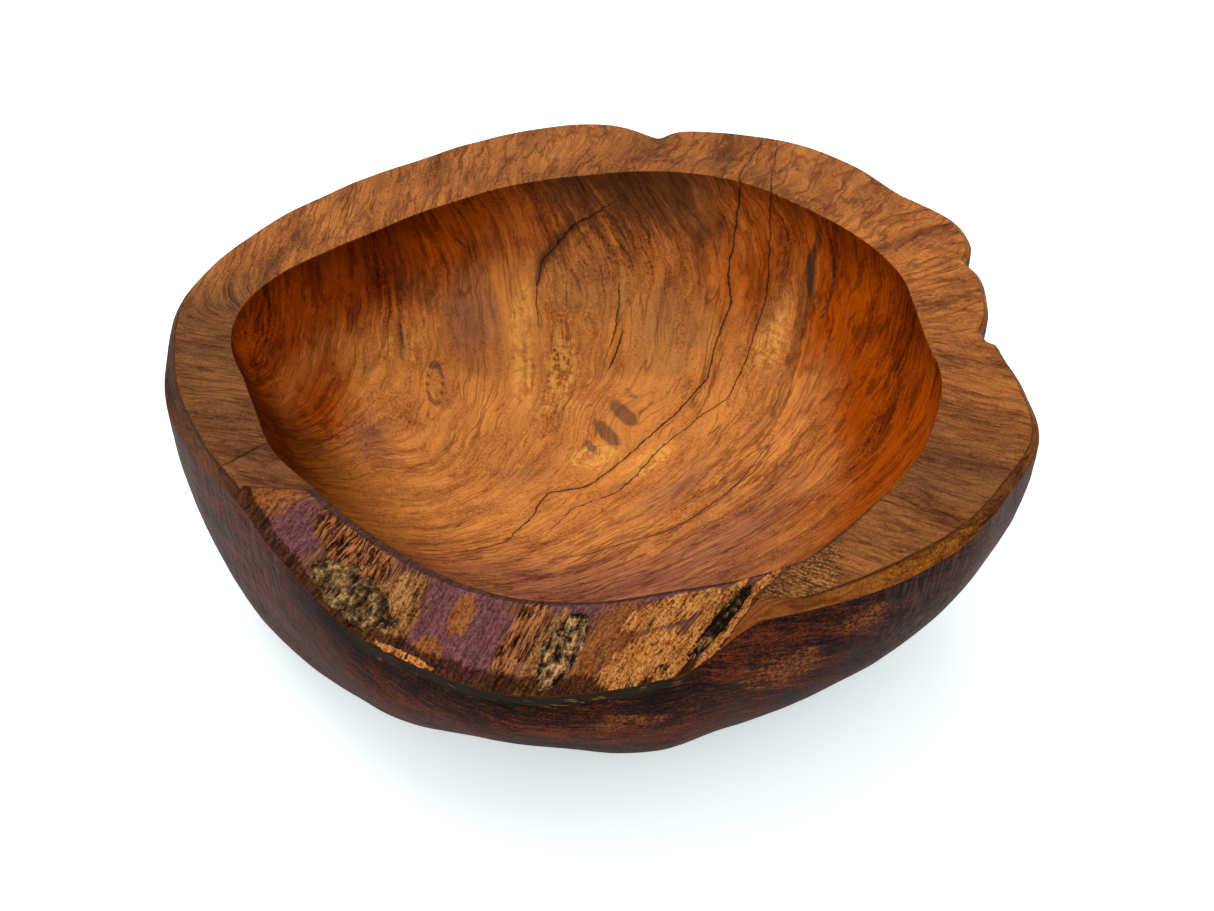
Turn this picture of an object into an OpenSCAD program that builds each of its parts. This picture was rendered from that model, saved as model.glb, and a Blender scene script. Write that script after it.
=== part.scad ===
// A bowl carved from one block of root wood. The rim keeps the root's own wavy outline,
// and its front is a sloping live edge with remnants of bark that grew into the wood.
// Origin: centre of the bowl's footprint, on the surface it stands on. +Z is up, and the
// live edge faces -Y.

/* [Body] */
// Width of the rim, along X
rim_width = 273; // [180:1:360]
// Height from the foot to the flat part of the rim
bowl_height = 83; // [60:1:110]
// Thickness of wood under the middle of the hollow
floor_thickness = 19; // [10:1:30]
// Size of the flat foot, as a share of its natural size
foot_share = 1; // [0.7:0.05:1.15]

/* [Rim] */
// Height lost by the outer edge at the middle of the live edge
live_edge_drop = 16; // [4:1:24]
// Height lost by the narrow bevel round the rest of the rim
bevel_drop = 2; // [0.5:0.5:4]
// Depth of the three dents in the outline, as a share of their natural depth
dent_share = 1; // [0:0.1:1.5]

/* [Hollow] */
// How flat the floor is: higher is flatter
floor_flatness = 2.1; // [1.6:0.1:4]
// How upright the wall is at the top: lower is more upright
wall_uprightness = 0.62; // [0.45:0.01:1]

/* [Bark] */
// Depth of the pockets that the bark fills
bark_depth = 1.6; // [0.8:0.1:3]
// Height that the bark stands proud of the wood
bark_proud = 0.4; // [0:0.1:1]

/* [Hidden] */

natural_width = 273;           // rim_width at which the outlines below are true
size = rim_width / natural_width;

wood_colour = [0.62, 0.33, 0.13];
bark_colour = [0.33, 0.26, 0.13];

// Radius of each outline, one value per 10 degrees, anticlockwise from +X.
outer_outline = [
    130, 132, 138.5, 146, 143, 146.5, 147.5, 143.5, 140, 142.5, 139.5, 135,
    132.5, 132.5, 133.5, 135, 137, 138.5, 136.5, 135.5, 131, 127.5, 126.5, 129,
    133.5, 136.5, 139.5, 137, 134, 132.5, 134.5, 138, 141.5, 142, 143.5, 136.5];
inner_outline = [
    107, 107, 109.5, 110, 109.5, 109.5, 111, 110, 107, 103, 101, 99.5,
    98, 98.5, 100, 105, 112, 116.5, 115.5, 110.5, 109, 110, 108.5, 109.5,
    112, 116, 118.5, 118.5, 117, 118, 119, 115.5, 113.5, 113, 111.5, 110.5];

// One value per 20 degrees: the foot's radius, and how soon the wall turns upright.
foot_outline = [82, 83, 84, 84, 83, 82, 82, 83, 87, 96, 102, 100, 91, 80, 90, 95, 84, 84];
wall_fullness = [
    1.1, 1.1, 1.1, 1.1, 1.1, 1.1, 1.1, 1.0, 0.9,
    0.9, 0.8, 0.9, 1.2, 1.5, 1.3, 1.6, 1.3, 1.1];

// Dents in the outer outline: [angle, half width in degrees, depth]
dents = [[81, 4, 7], [21, 2.5, 4], [3, 4, 3.5]];

// The live edge runs from the first angle to the last, and is full between the middle two.
live_edge = [216, 225, 285, 297];

// Points round each ring: close together on the live edge, and further apart elsewhere.
close_stretch = [211, 303];
n_close = 72;
n_far = 90;
n = n_close + n_far;
close_step = (close_stretch[1] - close_stretch[0]) / n_close;
far_step = (360 - close_stretch[1] + close_stretch[0]) / n_far;
angles = [for (i = [0:n - 1])
    i < n_close ? close_stretch[0] + i*close_step
    : (close_stretch[1] + (i - n_close)*far_step) % 360];

// Steps of a section: up the wall in degrees, then the edge's slope and the flat rim in
// equal steps, then down the hollow in shares of its radius.
wall_steps = [0, 12, 24, 36, 48, 60, 74];
slope_steps = 7;
flat_steps = 2;
hollow_steps = [0.985, 0.95, 0.88, 0.78, 0.67, 0.55, 0.42, 0.28, 0.14];

n_wall = len(wall_steps);
n_rim = slope_steps + flat_steps + 1;
rings = n_wall + n_rim + len(hollow_steps);

// Bark: its middle as [degrees round the rim, share across it], its reach both ways, and
// how many degrees it leans over from the outer edge to the inner one.
bark_left = [[237, 0.3], [8, 0.24], 3];
bark_front = [[266.6, 0.45], [2.6, 0.45], 5];
bark_right = [[287, 0.5], [1.8, 0.37], 13];

// A smooth closed curve through equally spaced values.
function around(values, angle) =
    let (count = len(values), at = angle / 360 * count, i = floor(at), t = at - i,
         a = values[(i + count - 1) % count], b = values[i % count],
         c = values[(i + 1) % count], d = values[(i + 2) % count])
    (2*b + (c - a)*t + (2*a - 5*b + 4*c - d)*t*t + (3*b - a - 3*c + d)*t*t*t) / 2;

function ease(x) = let (t = min(1, max(0, x))) t*t*(3 - 2*t);
function mix(a, b, t) = a + (b - a)*t;
function dent(angle, d) = d[2] * exp(-pow((angle - d[0]) / d[1], 2));
function dents_at(angle) = dent_share * (dent(angle, dents[0]) + dent(angle, dents[1]) + dent(angle, dents[2]));

function outer_r(angle) = size * (around(outer_outline, angle) - dents_at(angle));
function inner_r(angle) = size * around(inner_outline, angle);
function foot_r(angle) = size * foot_share * around(foot_outline, angle);

// 0 on the flat part of the rim, 1 on the live edge, at a share of the way across the rim.
// The live edge's ends run across the rim at a slant.
function slant(angle) = 8 + 5*ease((angle - 240) / 40);
function liveness(angle, v) =
    let (a = angle - slant(angle)*(v - 0.4))
    ease((a - live_edge[0]) / (live_edge[1] - live_edge[0]))
    * ease((live_edge[3] - a) / (live_edge[3] - live_edge[2]));
// The bevel is wider where the root's skin was trimmed, on the left and the front right.
function trimmed(angle, middle, reach) = exp(-pow((angle - middle)/reach, 2));
function bevel_at(angle) =
    bevel_drop * (1 + 2.7*trimmed(angle, 200, 18) + 1.7*trimmed(angle, 309, 18));
function live_drop_at(angle) = live_edge_drop * (0.55 + 0.45*sin(90*ease((angle - 213)/40)));
function edge_drop(angle, v) = mix(bevel_at(angle), live_drop_at(angle), liveness(angle, v));
// The share of the rim that the bevel or the live edge's slope takes up
function bevel_share(angle) =
    0.08 + 0.1*trimmed(angle, 190, 14) + 0.05*trimmed(angle, 309, 18);
function slope_share(angle, v) = mix(bevel_share(angle), 0.88, liveness(angle, v));
function rim_share(angle, k) =
    let (share = slope_share(angle, 0.4))
    k < slope_steps ? share*k/slope_steps : mix(share, 1, (k - slope_steps)/flat_steps);
function rim_dip(angle) = 3*exp(-pow((angle - 262)/28, 2));

function rim_z(angle, v) =
    bowl_height - rim_dip(angle) - edge_drop(angle, v)*max(0, 1 - v/slope_share(angle, v));
function hollow_z(angle, u) =
    floor_thickness + (rim_z(angle, 1) - floor_thickness)
    * (1 - pow(1 - pow(u, floor_flatness), wall_uprightness));

// Radius and height of step k of the section at an angle, before any pocket
function section(angle, k) =
    k < n_wall
    ? let (a = wall_steps[k])
      [mix(foot_r(angle), outer_r(angle), pow(sin(a), around(wall_fullness, angle))),
       rim_z(angle, 0)*(1 - cos(a))]
    : k < n_wall + n_rim
    ? let (v = rim_share(angle, k - n_wall))
      [mix(outer_r(angle), inner_r(angle), v), rim_z(angle, v)]
    : let (u = hollow_steps[k - n_wall - n_rim])
      [u*inner_r(angle), hollow_z(angle, u)];

function over_bark(angle, v, bark) =
    pow((angle - bark[0][0] - bark[2]*(v - bark[0][1])) / bark[1][0], 2)
    + pow((v - bark[0][1]) / bark[1][1], 2) < 1;
function pocket(angle, v) =
    over_bark(angle, v, bark_left) || over_bark(angle, v, bark_front) || over_bark(angle, v, bark_right)
    ? bark_depth : 0;

// Middle of the outline's box, which is moved onto the origin
outline_x = [for (a = angles) outer_r(a)*cos(a)];
outline_y = [for (a = angles) outer_r(a)*sin(a)];
middle_x = (min(outline_x) + max(outline_x)) / 2;
middle_y = (min(outline_y) + max(outline_y)) / 2;

// Point i of ring k, moved up by lift
function point(i, k, lift) =
    let (angle = angles[i], s = section(angle, k))
    [s[0]*cos(angle) - middle_x, s[0]*sin(angle) - middle_y, s[1] + lift];
function on_rim(k) = k > n_wall && k < n_wall + slope_steps;
function sunk(i, k) = on_rim(k) ? pocket(angles[i], rim_share(angles[i], k - n_wall)) : 0;
function wood_point(i, k) = point(i, k, -sunk(i, k));

module bowl() {
    under = rings*n;
    floor = under + 1;
    points = concat(
        [for (k = [0:rings - 1]) for (i = [0:n - 1]) wood_point(i, k)],
        [[-middle_x, -middle_y, 0], [-middle_x, -middle_y, floor_thickness]]);
    sides = [for (k = [0:rings - 2]) for (i = [0:n - 1]) let (j = (i + 1) % n)
        each [[k*n + i, (k + 1)*n + i, (k + 1)*n + j], [k*n + i, (k + 1)*n + j, k*n + j]]];
    last = (rings - 1)*n;
    ends = [for (i = [0:n - 1]) let (j = (i + 1) % n)
        each [[under, i, j], [last + i, floor, last + j]]];
    color(wood_colour) polyhedron(points, concat(sides, ends));
}

// A remnant of bark: it fills its pocket in the wood face to face, and thins to an edge
// one point further out on every side.
module bark(patch) {
    across = slope_steps + 1;
    cells = [for (i = [0:n_close - 1]) for (k = [n_wall:n_wall + slope_steps]) [i, k]];
    count = len(cells);
    inside = [for (c = cells) on_rim(c[1])
        && over_bark(angles[c[0]], rim_share(angles[c[0]], c[1] - n_wall), patch)];
    bottom = [for (c = cells) wood_point(c[0], c[1])];
    top = [for (c = cells) point(c[0], c[1], bark_proud)];
    // Two triangles a square, and only those that reach the inside
    triangles = [for (a = [0:n_close - 2]) for (b = [0:slope_steps - 1])
        let (p = a*across + b, q = p + across)
        each [[p, q + 1, q], [p, p + 1, q + 1]]];
    used = [for (t = triangles) if (inside[t[0]] || inside[t[1]] || inside[t[2]]) t];
    // A point on the patch's edge belongs to the bottom and the top alike.
    over = [for (t = used) [for (p = t) inside[p] ? count + p : p]];
    under = [for (t = used) [t[0], t[2], t[1]]];
    color(bark_colour) polyhedron(concat(bottom, top), concat(over, under));
}

bowl();
bark(bark_left);  // bark_patch_left
bark(bark_front);  // bark_vein_front
bark(bark_right);  // bark_pocket_right
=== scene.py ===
"""A bowl carved from root wood, with its cracks, figure, live edge and bark remnants.

The shape repeats the CAD model's formulas at a finer step and adds the surface detail.
Lengths in the making are in millimetres, in the CAD frame, and become metres at the end.
"""
import math

import bpy
import numpy as np
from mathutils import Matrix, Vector, noise


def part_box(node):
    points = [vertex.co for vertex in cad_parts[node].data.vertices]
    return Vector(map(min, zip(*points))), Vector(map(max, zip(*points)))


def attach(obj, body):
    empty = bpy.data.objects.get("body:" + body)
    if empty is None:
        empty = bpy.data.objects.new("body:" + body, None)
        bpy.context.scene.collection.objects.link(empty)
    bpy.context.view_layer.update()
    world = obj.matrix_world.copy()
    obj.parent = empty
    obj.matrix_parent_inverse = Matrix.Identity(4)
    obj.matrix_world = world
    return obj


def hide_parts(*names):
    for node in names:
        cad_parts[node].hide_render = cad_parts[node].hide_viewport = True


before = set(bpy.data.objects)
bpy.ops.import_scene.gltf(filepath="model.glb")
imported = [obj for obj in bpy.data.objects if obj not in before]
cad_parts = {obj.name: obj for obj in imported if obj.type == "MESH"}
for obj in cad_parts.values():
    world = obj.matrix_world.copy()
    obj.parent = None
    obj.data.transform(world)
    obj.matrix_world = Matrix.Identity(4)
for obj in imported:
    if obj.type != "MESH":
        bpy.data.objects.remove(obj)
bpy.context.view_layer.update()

MM = 0.001

# ---------------------------------------------------------------- sizes, from the frame

NATURAL_WIDTH = 273.0
bowl_low, bowl_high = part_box("bowl")
SIZE = (bowl_high[0] - bowl_low[0]) / MM / NATURAL_WIDTH
HEIGHT = bowl_high[2] / MM

# ------------------------------------------------- the CAD model's outlines and formulas

OUTER_OUTLINE = [
    130, 132, 138.5, 146, 143, 146.5, 147.5, 143.5, 140, 142.5, 139.5, 135,
    132.5, 132.5, 133.5, 135, 137, 138.5, 136.5, 135.5, 131, 127.5, 126.5, 129,
    133.5, 136.5, 139.5, 137, 134, 132.5, 134.5, 138, 141.5, 142, 143.5, 136.5]
INNER_OUTLINE = [
    107, 107, 109.5, 110, 109.5, 109.5, 111, 110, 107, 103, 101, 99.5,
    98, 98.5, 100, 105, 112, 116.5, 115.5, 110.5, 109, 110, 108.5, 109.5,
    112, 116, 118.5, 118.5, 117, 118, 119, 115.5, 113.5, 113, 111.5, 110.5]
FOOT_OUTLINE = [82, 83, 84, 84, 83, 82, 82, 83, 87, 96, 102, 100, 91, 80, 90, 95, 84, 84]
WALL_FULLNESS = [
    1.1, 1.1, 1.1, 1.1, 1.1, 1.1, 1.1, 1.0, 0.9,
    0.9, 0.8, 0.9, 1.2, 1.5, 1.3, 1.6, 1.3, 1.1]
FLOOR = 19.0
FLATNESS = 2.1
UPRIGHTNESS = 0.62
BEVEL_DROP = 2
LIVE_DROP = 16.0
# The live edge runs from the first angle to the last, and is full between the middle two.
LIVE_EDGE = (216, 225, 285, 297)
# Dents in the outer outline: angle, reach before it and after it in degrees, depth
DENTS = [(79.5, 1.8, 4.5, 7.5), (21, 3.0, 1.6, 4.5), (3, 4.5, 3.0, 4)]
MM_PER_DEGREE = 2.2


def around(values, angle):
    """A smooth closed curve through equally spaced values, at angles in degrees."""
    values = np.asarray(values, float)
    at = np.asarray(angle) / 360 * len(values)
    i = np.floor(at).astype(int)
    t = at - i
    a, b, c, d = (values[(i + k) % len(values)] for k in (-1, 0, 1, 2))
    return (2 * b + (c - a) * t + (2 * a - 5 * b + 4 * c - d) * t**2
            + (3 * b - a - 3 * c + d) * t**3) / 2


def ease(x):
    x = np.clip(x, 0, 1)
    return x * x * (3 - 2 * x)


def mix(a, b, t):
    return a + (b - a) * t


def bump(x, middle, reach):
    return np.exp(-(((x - middle) / reach) ** 2))


def notch(angle, middle, before, after, depth):
    """A dent in the outline with a flank of its own on either side of its middle."""
    reach = np.where(angle < middle, before, after)
    return depth * np.exp(-np.abs((angle - middle) / reach) ** 1.5)


def outer_radius(angle):
    return SIZE * (around(OUTER_OUTLINE, angle) - sum(notch(angle, *dent) for dent in DENTS))


def inner_radius(angle):
    return SIZE * around(INNER_OUTLINE, angle)


def foot_radius(angle):
    return SIZE * around(FOOT_OUTLINE, angle)


def unslanted(angle, v):
    """The live edge's ends run across the rim at a slant, which this takes out."""
    return angle - (8 + 5 * ease((angle - 240) / 40)) * (v - 0.4)


def liveness(angle, v):
    a = unslanted(angle, v)
    start, full_from, full_to, end = LIVE_EDGE
    return ease((a - start) / (full_from - start)) * ease((end - a) / (end - full_to))


def edge_drop(angle, v):
    bevel = BEVEL_DROP * (1 + 2.7 * bump(angle, 200, 18) + 1.7 * bump(angle, 309, 18))
    live = LIVE_DROP * (0.55 + 0.45 * np.sin(np.pi / 2 * ease((angle - 213) / 40)))
    return mix(bevel, live, liveness(angle, v))


def slope_share(angle, v=0.4):
    bevel = 0.08 + 0.1 * bump(angle, 190, 14) + 0.05 * bump(angle, 309, 18)
    return mix(bevel, 0.88, liveness(angle, v))


def rim_z(angle, v):
    dip = 3 * bump(angle, 262, 28)
    return HEIGHT - dip - edge_drop(angle, v) * np.maximum(0, 1 - v / slope_share(angle, v))


# ----------------------------------------------------------------------- the bowl's mesh

# Points round a ring: closer together on the live edge, at the front.
CLOSE_STRETCH = (209, 304)
N_CLOSE = 290
N_FAR = 410
angles = np.concatenate([
    np.linspace(*CLOSE_STRETCH, N_CLOSE, endpoint=False),
    np.linspace(CLOSE_STRETCH[1], CLOSE_STRETCH[0] + 360, N_FAR, endpoint=False)])
angles %= 360
turn = np.radians(angles)

# The outline's box is centred on the origin, as in the CAD model.
outline_x = outer_radius(angles) * np.cos(turn)
outline_y = outer_radius(angles) * np.sin(turn)
MIDDLE = np.array([(outline_x.min() + outline_x.max()) / 2,
                   (outline_y.min() + outline_y.max()) / 2])

WALL, SLOPE, FLAT, HOLLOW = range(4)
CREASE_STEP = 0.45


def spread(lengths, count, close_first=3, close_last=3):
    """Positions 0 to 1 along stretches of the given lengths: close together at the ends."""
    step = np.minimum(CREASE_STEP / lengths, 0.5 / (count + 4))
    head = close_first * step
    tail = close_last * step
    even = count - close_first - close_last - 1
    parts = [k * step for k in range(close_first)]
    parts += [head + (1 - head - tail) * k / even for k in range(even + 1)]
    parts += [1 - (close_last - 1 - k) * step for k in range(close_last)]
    return np.array(parts)


def along(path_r, path_z, count, close_first, close_last):
    """Points spread along one path per angle, given as arrays of (point, angle)."""
    out_r = np.empty((count, path_r.shape[1]))
    out_z = np.empty_like(out_r)
    run = np.hypot(np.diff(path_r, axis=0), np.diff(path_z, axis=0)).cumsum(0)
    run = np.vstack([np.zeros(path_r.shape[1]), run])
    at = spread(run[-1], count, close_first, close_last) * run[-1]
    for i in range(path_r.shape[1]):
        out_r[:, i] = np.interp(at[:, i], run[:, i], path_r[:, i])
        out_z[:, i] = np.interp(at[:, i], run[:, i], path_z[:, i])
    return out_r, out_z


def sections():
    """Radius and height of every ring at every angle, and the stretch each ring is on."""
    foot, outer, inner = foot_radius(angles), outer_radius(angles), inner_radius(angles)
    rise = np.linspace(0, np.pi / 2, 160)[:, None]
    wall = along(foot + (outer - foot) * np.sin(rise) ** around(WALL_FULLNESS, angles),
                 rim_z(angles, 0) * (1 - np.cos(rise)), 36, 0, 3)
    share = slope_share(angles)
    width = outer - inner
    v = spread(share * width, 28) * share
    slope = (mix(outer, inner, v), rim_z(angles, v))
    v = share + spread((1 - share) * width, 17) * (1 - share)
    flat = (mix(outer, inner, v), rim_z(angles, v))
    top = rim_z(angles, 1)
    q = np.linspace(0, 1, 400)[:, None] ** 1.5
    u = (1 - q ** (1 / UPRIGHTNESS)) ** (1 / FLATNESS)
    hollow = along(u * inner, top - (top - FLOOR) * q, 54, 3, 0)
    stretches = (wall, slope, flat, hollow)
    # A ring shared by two stretches is kept once, with the stretch it starts.
    ends = (-1, -1, -1, -1)
    r = np.vstack([s[0][:e] for s, e in zip(stretches, ends)])
    z = np.vstack([s[1][:e] for s, e in zip(stretches, ends)])
    stretch = np.concatenate([np.full(len(s[0]) - 1, k) for k, s in enumerate(stretches)])
    return r, z, stretch


ring_r, ring_z, ring_stretch = sections()
N_RINGS, N_ANGLES = ring_r.shape
points = np.stack([ring_r * np.cos(turn) - MIDDLE[0],
                   ring_r * np.sin(turn) - MIDDLE[1], ring_z], axis=2)


def soften_creases(points, first_rings, passes):
    """Rounds the creases that start at the given rings."""
    for ring in first_rings:
        for _ in range(passes):
            near = slice(ring - 2, ring + 3)
            before = points[ring - 3:ring + 2]
            after = points[ring - 1:ring + 4]
            points[near] = (points[near] + (before + after) / 2) / 2


starts = [int(np.argmax(ring_stretch == k)) for k in (SLOPE, FLAT, HOLLOW)]
soften_creases(points, starts, 1)


def face_grid(rings, count):
    """Quads between neighbouring rings."""
    ring = np.arange(rings - 1)[:, None] * count
    i = np.arange(count)
    j = (i + 1) % count
    quads = np.stack([ring + i, ring + j, ring + count + j, ring + count + i], axis=2)
    return quads.reshape(-1, 4)


def grid_normals(points):
    """Outward normals of the ring grid."""
    round_step = np.roll(points, -1, axis=1) - np.roll(points, 1, axis=1)
    up_step = np.gradient(points, axis=0)
    normal = np.cross(round_step, up_step)
    return normal / np.maximum(np.linalg.norm(normal, axis=2, keepdims=True), 1e-9)


def build_mesh(name, points, closing):
    """A closed mesh from rings of points and the middle points that close its two ends."""
    rings, count = points.shape[:2]
    vertices = np.vstack([points.reshape(-1, 3), closing]) * MM
    under, floor = rings * count, rings * count + 1
    i = np.arange(count)
    j = (i + 1) % count
    last = (rings - 1) * count
    ends = np.vstack([np.stack([np.full(count, under), j, i], 1),
                      np.stack([last + i, last + j, np.full(count, floor)], 1)])
    quads = face_grid(rings, count)
    mesh = bpy.data.meshes.new(name)
    mesh.vertices.add(len(vertices))
    mesh.vertices.foreach_set("co", vertices.ravel())
    corners = np.concatenate([quads.ravel(), ends.ravel()])
    starts = np.concatenate([np.arange(len(quads)) * 4,
                             len(quads) * 4 + np.arange(len(ends)) * 3])
    mesh.loops.add(len(corners))
    mesh.loops.foreach_set("vertex_index", corners)
    mesh.polygons.add(len(starts))
    mesh.polygons.foreach_set("loop_start", starts)
    mesh.polygons.foreach_set("use_smooth", np.ones(len(starts), bool))
    mesh.update(calc_edges=True)
    mesh.validate()
    thing = bpy.data.objects.new(name, mesh)
    bpy.context.collection.objects.link(thing)
    return thing


# ------------------------------------------------------- where the wood shows what: fields

# Fields are worked out at every vertex, and the materials blur and fray them with noise.
# Plan positions are in millimetres from the outlines' own origin.
plan_x = points[:, :, 0] + MIDDLE[0]
plan_y = points[:, :, 1] + MIDDLE[1]
angle_grid = np.broadcast_to(angles, (N_RINGS, N_ANGLES))
on_wall = np.repeat((ring_stretch == WALL)[:, None], N_ANGLES, axis=1).astype(float)
on_hollow = np.repeat((ring_stretch == HOLLOW)[:, None], N_ANGLES, axis=1).astype(float)
rim_width = outer_radius(angles) - inner_radius(angles)
share_grid = np.clip((outer_radius(angles) - ring_r) / rim_width, 0, 1)
slanted = unslanted(angle_grid, share_grid)
on_live = ((slanted > 217.3) & (slanted < 290.5)) * (1 - on_wall) * (1 - on_hollow)
on_bevel = ease((slope_share(angles) - share_grid) / 0.02) * (1 - on_wall) * (1 - on_live)


def noise_at(points, size, seed):
    """Smooth noise of about -0.7 to 0.7, with lumps of the given size in millimetres."""
    shift = Vector((seed * 17.3, seed * 5.1, seed * 9.7))
    flat = points.reshape(-1, 3) / size
    values = np.array([noise.noise(Vector(p) + shift) for p in flat])
    return values.reshape(points.shape[:-1])


def spots(patches):
    """The strongest of some soft oval spots. A spot is
    x, y, half length, half width, direction of its length in degrees, strength."""
    best = np.zeros_like(plan_x)
    for x, y, length, width, direction, strength in patches:
        way = math.radians(direction)
        along = (plan_x - x) * math.cos(way) + (plan_y - y) * math.sin(way)
        aside = (plan_y - y) * math.cos(way) - (plan_x - x) * math.sin(way)
        best = np.maximum(best, strength * np.exp(-((along / length) ** 2 + (aside / width) ** 2)))
    return best


def signed_distance(line):
    """Distance to a line in plan, positive on its left, and the share of the way along it."""
    line = np.array(line, float)
    nearest = np.full(plan_x.shape, 1e9)
    side = np.zeros_like(nearest)
    share = np.zeros_like(nearest)
    for k in range(len(line) - 1):
        start, step = line[k], line[k + 1] - line[k]
        length = np.hypot(*step)
        x, y = plan_x - start[0], plan_y - start[1]
        t = np.clip((x * step[0] + y * step[1]) / length**2, 0, 1)
        away = np.hypot(x - t * step[0], y - t * step[1])
        closer = away < nearest
        nearest = np.where(closer, away, nearest)
        side = np.where(closer, np.sign(step[0] * y - step[1] * x), side)
        share = np.where(closer, (k + t) / (len(line) - 1), share)
    return nearest * side, share


def stroke(line, width, strength=1.0):
    """A soft dark stroke that thins out towards both ends of a line."""
    distance, share = signed_distance(line)
    body = np.clip(4 * share * (1 - share), 0.05, 1) ** 0.5
    ends = ease(share * 8) * ease((1 - share) * 8)
    return strength * np.exp(-((distance / (width * body)) ** 2)) * ends


def lean(angle):
    """Degrees that the live edge's fibres lean over, from its outer edge to its inner one."""
    return np.interp(angle, [228, 250, 267, 284, 300], [2, 3, 6, 13, 10])


def grain_across():
    """Millimetres across the grain: the wood's figure follows this field's level lines."""
    x, y, z = plan_x, plan_y, ring_z
    along = 0.669 * x + 0.743 * y
    across = 0.743 * x - 0.669 * y
    fan = across * np.exp(-along / 150) + 0.45 * (z - HEIGHT) * ease((x + 115) / 70)
    swirl = 6 * np.exp(-(((x + 77) / 11) ** 2 + ((y - 6) / 18) ** 2))
    eye = 6 * np.exp(-(((x + 55) / 3) ** 2 + ((y - 38) / 6) ** 2))
    leaf = 5 * np.exp(-(((x - 8) / 12) ** 2 + ((y - 36) / 12) ** 2))
    fan = fan + (swirl + eye + leaf) * on_hollow
    # On the left of the rim the lines turn to run across it.
    left = ease((angle_grid - 158) / 24) * (1 - on_hollow) * (1 - on_wall)
    field = mix(fan, 1.2 * y + 0.25 * x - 165, left * ease((262 - angle_grid) / 20))
    # On its right front they lean the other way, and on the bevel they follow it.
    right = ease((angle_grid - 282) / 6) + ease((12 - angle_grid) / 24)
    field = mix(field, 93 - 0.9 * y - 0.36 * x, right * (1 - on_hollow) * (1 - on_wall))
    field = mix(field, 1.3 * share_grid * rim_width + 0.06 * x, on_bevel)
    wall = 0.95 * z + 0.1 * x + 6 * np.sin(x / 37 + 1.2) + 0.35 * np.maximum(0, x - 30)
    field = mix(field, wall, on_wall)
    fibres = MM_PER_DEGREE * (angle_grid - lean(angle_grid) * (share_grid - 0.4))
    return mix(field, fibres, on_live)


def oval(patch):
    """1 in the middle of a patch on the live edge, 0 on its outline, negative outside."""
    (middle, share), (reach_angle, reach_share), lean_over = patch
    aside = (angle_grid - middle - lean_over * (share_grid - share)) / reach_angle
    return 1 - np.hypot(aside, (share_grid - share) / reach_share)


def ovals(patches):
    best = np.max([oval(patch) for patch in patches], axis=0)
    return np.maximum(best, -1) * on_live - (1 - on_live)


BARK_DEPTH = 1.6
BARKS = {
    "bark_patch_left": ((237, 0.3), (8, 0.24), 3),
    "bark_vein_front": ((266.6, 0.45), (2.6, 0.45), 5),
    "bark_pocket_right": ((287, 0.5), (1.8, 0.37), 13),
}

# Cracks that have opened, and finer ones: the long ones cross the hollow from the back.
CRACKS = [
    [(61, 124), (52, 104), (52, 97), (48, 82), (49, 73), (43, 60), (40, 49), (28, 36), (20, 29),
     (3, 10), (-2, 5), (-16, 1), (-21, -14), (-29, -30), (-42, -42)],
    [(10, 70), (8, 62), (5, 56)],
    [(-109, -62), (-104, -57), (-99, -53)]]
HAIRLINES = [
    [(67, 124), (63, 97), (62, 79), (61, 69), (54, 52), (47, 39), (38, 34), (23, 22), (14, 9),
     (7, 1), (-7, -7), (-14, -20)],
    [(6, 101), (-7, 96), (-13, 92), (-19, 86), (-21, 78), (-20, 68)],
    [(9, 84), (9, 78), (8, 72), (5, 64)],
    [(-5, -34), (12, -26), (28, -20), (48, -3), (61, 14)]]


def cracks(lines):
    """Signed distance to the nearest crack, and how open the crack is there."""
    nearest = np.full(plan_x.shape, 50.0)
    opening = np.zeros_like(nearest)
    for line in lines:
        distance, share = signed_distance(line)
        closer = np.abs(distance) < np.abs(nearest)
        nearest = np.where(closer, distance, nearest)
        ends = ease(share * 6) * ease((1 - share) * 4)
        opening = np.where(closer, 0.3 + 0.7 * ends, opening)
    opening *= ease((4.5 - np.abs(nearest)) / 2) * (1 - on_wall) * (1 - on_live)
    return nearest, opening


def ring_mark(x, y, reach_x, reach_y, width):
    """An oval line round a point in plan."""
    return bump(np.hypot((plan_x - x) / reach_x, (plan_y - y) / reach_y), 1, width)


# Two edges between the gouge's facets: one along the foot of the back wall, and one that
# curves down the wall on its left. Positive is up the wall, and right of the curve.
FOOT_EDGE = [(-96, 20), (-72, 37), (-50, 42), (-21, 50), (20, 52), (38, 50)]
SIDE_EDGE = [(-43, 84), (-34, 73), (-31, 58), (-32, 50), (-33, 40)]
foot_edge, along_foot = signed_distance(FOOT_EDGE)
side_edge, along_side = signed_distance(SIDE_EDGE)
foot_window = on_hollow * ease(along_foot * 6) * ease((1 - along_foot) * 6)
side_window = on_hollow * ease(along_side * 8) * ease((1 - along_side) * 4)
west = ease(0.5 - side_edge / 2.0)

# How far up the hollow's wall: the darker colours start lower on the right.
upper = ease((ring_z - mix(42, 27, ease(plan_x / 60 + 0.5))) / 28)
front = bump(angle_grid, 268, 48)
edge_depth = rim_z(angles, 1) - ring_z
back = bump(angle_grid, 82, 30)
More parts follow.
